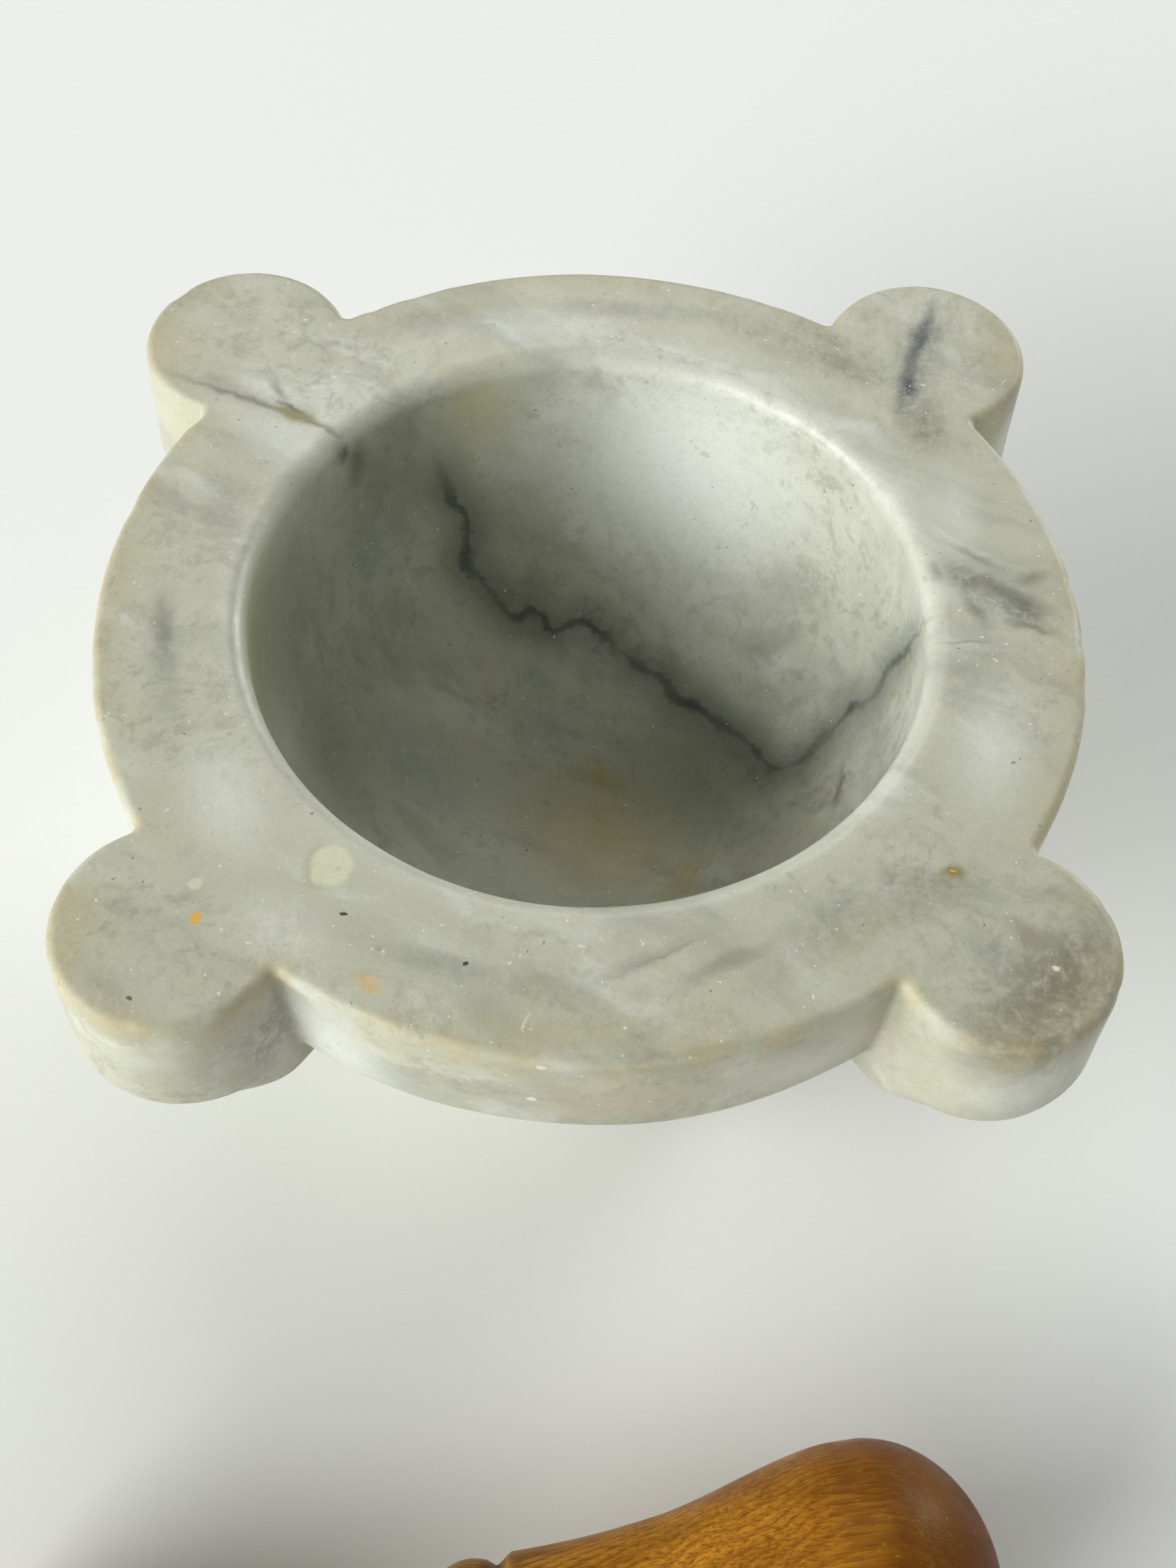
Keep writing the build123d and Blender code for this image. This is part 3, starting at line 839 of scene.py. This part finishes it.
def beech_material(settings):
    """Varnished beech turned on a lathe: growth rings about a heart beside the pestle's axis, dark
    fibre dashes and small ray flecks along it, faint turning rings across it, a browner head,
    darker still at its end, partly its own wood and partly painted shade, a yellower cone and
    bead, and a darker band in the groove."""
    nodes = Nodes("beech")
    level = (0.0, -math.degrees(math.asin(pestle_axes(settings)[0][2])), math.degrees(PESTLE_TURN))
    own = nodes.turned(tuple(HEAD_CENTRE), (1, 1, 1), level, nodes.moved(0.9, 18.0))
    reach = nodes.node("SeparateXYZ", {0: own}).outputs
    heart = nodes.vector("SUBTRACT", own, (0, 26.0, -34.0))
    heart = nodes.vector("LENGTH", nodes.vector("MULTIPLY", heart, (0.06, 1.0, 1.0)))
    rings = nodes.math("ADD", heart, nodes.math("MULTIPLY", nodes.noise(38.0, shift=1.0), 16.0))
    late = nodes.step(nodes.math("FRACT", nodes.math("DIVIDE", rings, 1.7)), 0.30, 1.0, 0.40)

    def streaks(size, shift, detail, rough, low, high, top):
        """Noise stretched to a size along, across and above the pestle, as a mask up to top."""
        stretched = nodes.turned((0, 0, 0), size, 0, own)
        return nodes.step(nodes.noise(1.0, detail, rough, stretched, shift), low, high, top)

    wide = streaks((70, 7, 7), 2.0, 3.0, 0.6, 0.35, 0.7, 0.45)
    fibre = streaks((16, 0.55, 0.55), 3.0, 2.0, 0.6, 0.48, 0.66, 0.62)
    thread = streaks((40, 0.4, 0.4), 4.0, 1.0, 0.5, 0.42, 0.70, 0.50)
    fleck = streaks((3.6, 1.0, 0.42), 5.0, 1.0, 0.5, 0.66, 0.74, 0.45)
    lathe = streaks((0.45, 60, 60), 6.0, 2.0, 0.7, 0.45, 0.75, 0.20)

    light, dark = tuple(settings.light_wood), tuple(settings.dark_wood)
    handle = nodes.step(reach[0], -55.0, -92.0)
    colour = nodes.mix(handle, light, (0.52, 0.28, 0.06))
    # darker brown towards the head: partly the head's darker wood, partly painted shade
    brown = nodes.step(nodes.noise(22.0, 3.0, 0.6, shift=7.0), 0.2, 0.62)
    brown = nodes.math("MULTIPLY", nodes.step(reach[0], -40.0, 14.0), brown)
    colour = nodes.mix(nodes.math("MULTIPLY", brown, 0.9), colour, (0.125, 0.034, 0.003))
    # the head's rounded end darker still: partly darker varnish, partly painted shade
    dark_tip_and_shade = nodes.step(reach[0], -4.0, 24.0, 0.9)
    colour = nodes.mix(dark_tip_and_shade, colour, (0.045, 0.011, 0.001))
    for amount in (wide, late, fibre, thread, lathe):
        colour = nodes.mix(amount, colour, dark)
    colour = nodes.mix(fleck, colour, (0.46, 0.22, 0.04))
    # a darker band in the groove
    groove = nodes.math("ABSOLUTE", nodes.math("ADD", reach[0], GROOVE_DISTANCE))
    groove = nodes.step(groove, 3.4, 0.8, 0.72)
    colour = nodes.mix(groove, colour, (0.10, 0.042, 0.010))
    smudge = nodes.step(nodes.noise(9.0, 4.0, 0.7, shift=8.0), 0.56, 0.72, 0.30)
    colour = nodes.mix(smudge, colour, (0.13, 0.05, 0.012))
    nodes.put(nodes.shader.inputs["Base Color"], colour)

    rough = nodes.math("ADD", nodes.step(nodes.noise(7.0, 4.0, 0.7, shift=9.0), 0.3, 0.7, 0.18), 0.36)
    nodes.put(nodes.shader.inputs["Roughness"], rough)
    nodes.put(nodes.shader.inputs["Specular IOR Level"], 0.12)
    nodes.put(nodes.shader.inputs["Specular Tint"], (1.0, 0.75, 0.45))
    height = nodes.math("ADD", nodes.math("MULTIPLY", lathe, 1.6), nodes.math("MULTIPLY", fibre, -0.7))
    height = nodes.math("ADD", height, nodes.math("MULTIPLY", nodes.noise(6.0, 2.0, shift=10.0), 1.4))
    bump = nodes.node("Bump", {"Strength": 0.35, "Distance": 0.12 * MM, "Height": height})
    nodes.put(nodes.shader.inputs["Normal"], bump.outputs[0])
    return nodes.material


def floor_material(value):
    """Pale table top, seen from above only, so that it never hides what stands on it."""
    nodes = Nodes("floor")
    nodes.put(nodes.shader.inputs["Base Color"], tuple(value))
    nodes.put(nodes.shader.inputs["Roughness"], 0.8)
    nodes.put(nodes.shader.inputs["Specular IOR Level"], 0.15)
    clear = nodes.node("BsdfTransparent", {})
    side = nodes.node("NewGeometry", {})
    mixed = nodes.node(
        "MixShader", {0: side.outputs["Backfacing"], 1: nodes.shader.outputs[0], 2: clear.outputs[0]}
    )
    nodes.put(nodes.tree.nodes["Material Output"].inputs["Surface"], mixed.outputs[0])
    return nodes.material


# ---------------------------------------------------------------- operators


class MORTAR_OT_mortar(bpy.types.Operator):
    """Makes the marble mortar over its CAD solid"""

    bl_idname = "mortar_set.mortar"
    bl_label = "Marble mortar"

    def execute(self, context):
        settings = context.scene.mortar
        piece = make_mortar(settings)
        piece.data.materials.append(marble_material(settings))
        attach(piece, "mortar")
        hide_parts("mortar")
        return {"FINISHED"}


class MORTAR_OT_pestle(bpy.types.Operator):
    """Makes the beech pestle over its CAD solid"""

    bl_idname = "mortar_set.pestle"
    bl_label = "Beech pestle"

    def execute(self, context):
        settings = context.scene.pestle
        piece = make_pestle(settings)
        piece.data.materials.append(beech_material(settings))
        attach(piece, "pestle")
        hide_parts("pestle")
        return {"FINISHED"}


CAMERA_PLACE = Vector((-0.01048, -0.27475, 0.47116))
CAMERA_FORWARD = Vector((0.02328, 0.55075, -0.83435))
CAMERA_RIGHT = Vector((0.99961, 0.00028, 0.02807))
CAMERA_LENS = 45.57
LIGHT_DISTANCE = 4.0
FLOOR_RADII = np.array([0.0594, 0.3, 1.0, 2.4])  # it starts just inside the foot's edge
FLOOR_DROP = 0.0002
FLOOR_COLUMNS = 96


def area_light(name, turn, height, sides, power):
    """A soft light LIGHT_DISTANCE metres from the mortar and facing it, at a turn and a height in
    degrees, that isn't itself seen."""
    turn, height = math.radians(turn), math.radians(height)
    way = Vector((math.cos(turn) * math.cos(height), math.sin(turn) * math.cos(height), math.sin(height)))
    data = bpy.data.lights.new(name, "AREA")
    data.shape, data.energy = "RECTANGLE", power
    data.size, data.size_y = sides
    light = bpy.data.objects.new(name, data)
    light.location = LIGHT_DISTANCE * way
    light.rotation_euler = (-way).to_track_quat("-Z", "Y").to_euler()
    light.visible_camera = False
    bpy.context.scene.collection.objects.link(light)


class MORTAR_OT_stage(bpy.types.Operator):
    """Lays the floor and sets the lights and the camera"""

    bl_idname = "mortar_set.stage"
    bl_label = "Stage"

    def execute(self, context):
        scene, settings = context.scene, context.scene.mortar_stage
        rows = len(FLOOR_RADII)
        angle = FULL_TURN * np.arange(FLOOR_COLUMNS) / FLOOR_COLUMNS
        points = levels(circle(angle, FLOOR_RADII), np.full(rows, -FLOOR_DROP))
        mesh = bpy.data.meshes.new("floor")
        mesh.from_pydata(points.reshape(-1, 3).tolist(), [], grid_faces(rows, FLOOR_COLUMNS).tolist())
        floor = bpy.data.objects.new("floor", mesh)
        floor.data.materials.append(floor_material(settings.floor))
        scene.collection.objects.link(floor)

        world = bpy.data.worlds.new("studio")
        world.use_nodes = True
        tree = world.node_tree
        seen = tree.nodes.new("ShaderNodeLightPath").outputs["Is Camera Ray"]
        strength = tree.nodes.new("ShaderNodeMapRange")
        strength.inputs["To Min"].default_value = settings.world
        strength.inputs["To Max"].default_value = settings.backdrop
        tree.links.new(seen, strength.inputs["Value"])
        tree.links.new(strength.outputs[0], tree.nodes["Background"].inputs["Strength"])
        tree.nodes["Background"].inputs["Color"].default_value = (1, 1, 1, 1)
        scene.world = world
        scene.view_settings.view_transform = "Standard"
        area_light("key", 208, 21, (3.6, 1.7), settings.key)
        area_light("back", 45, 17, (1.6, 1.6), settings.back)
        area_light("fill", 335, 14, (1.6, 1.6), settings.fill)
        area_light("above", 92, 42, (1.6, 1.6), settings.above)

        data = bpy.data.cameras.new("camera")
        data.sensor_fit, data.sensor_width, data.lens = "AUTO", 36.0, CAMERA_LENS
        data.clip_start = 0.01
        camera = bpy.data.objects.new("camera", data)
        back, right = -CAMERA_FORWARD, CAMERA_RIGHT
        turn = Matrix((right, back.cross(right), back)).transposed()
        camera.matrix_world = Matrix.Translation(CAMERA_PLACE) @ turn.to_4x4()
        scene.collection.objects.link(camera)
        scene.camera = camera
        return {"FINISHED"}


class MORTAR_PT_panel(bpy.types.Panel):
    """Lists the set's operators and settings"""

    bl_label = "Mortar and Pestle"
    bl_space_type = "VIEW_3D"
    bl_region_type = "UI"
    bl_category = "Mortar"

    def draw(self, context):
        for operator in (MORTAR_OT_mortar, MORTAR_OT_pestle, MORTAR_OT_stage):
            self.layout.operator(operator.bl_idname)
        for group in ("mortar", "pestle", "mortar_stage"):
            box = self.layout.box()
            for name in getattr(context.scene, group).bl_rna.properties.keys():
                if name not in ("rna_type", "name"):
                    box.prop(getattr(context.scene, group), name)


CLASSES = (
    MortarSettings, PestleSettings, StageSettings,
    MORTAR_OT_mortar, MORTAR_OT_pestle, MORTAR_OT_stage, MORTAR_PT_panel,
)


def register():
    for cls in CLASSES:
        bpy.utils.register_class(cls)
    bpy.types.Scene.mortar = bpy.props.PointerProperty(type=MortarSettings)
    bpy.types.Scene.pestle = bpy.props.PointerProperty(type=PestleSettings)
    bpy.types.Scene.mortar_stage = bpy.props.PointerProperty(type=StageSettings)


def unregister():
    del bpy.types.Scene.mortar, bpy.types.Scene.pestle, bpy.types.Scene.mortar_stage
    for cls in reversed(CLASSES):
        bpy.utils.unregister_class(cls)


def main():
    """Registers the add-on and runs its operators in order."""
    register()
    bpy.ops.mortar_set.stage()
    bpy.ops.mortar_set.mortar()
    bpy.ops.mortar_set.pestle()


if __name__ == "__main__":
    main()
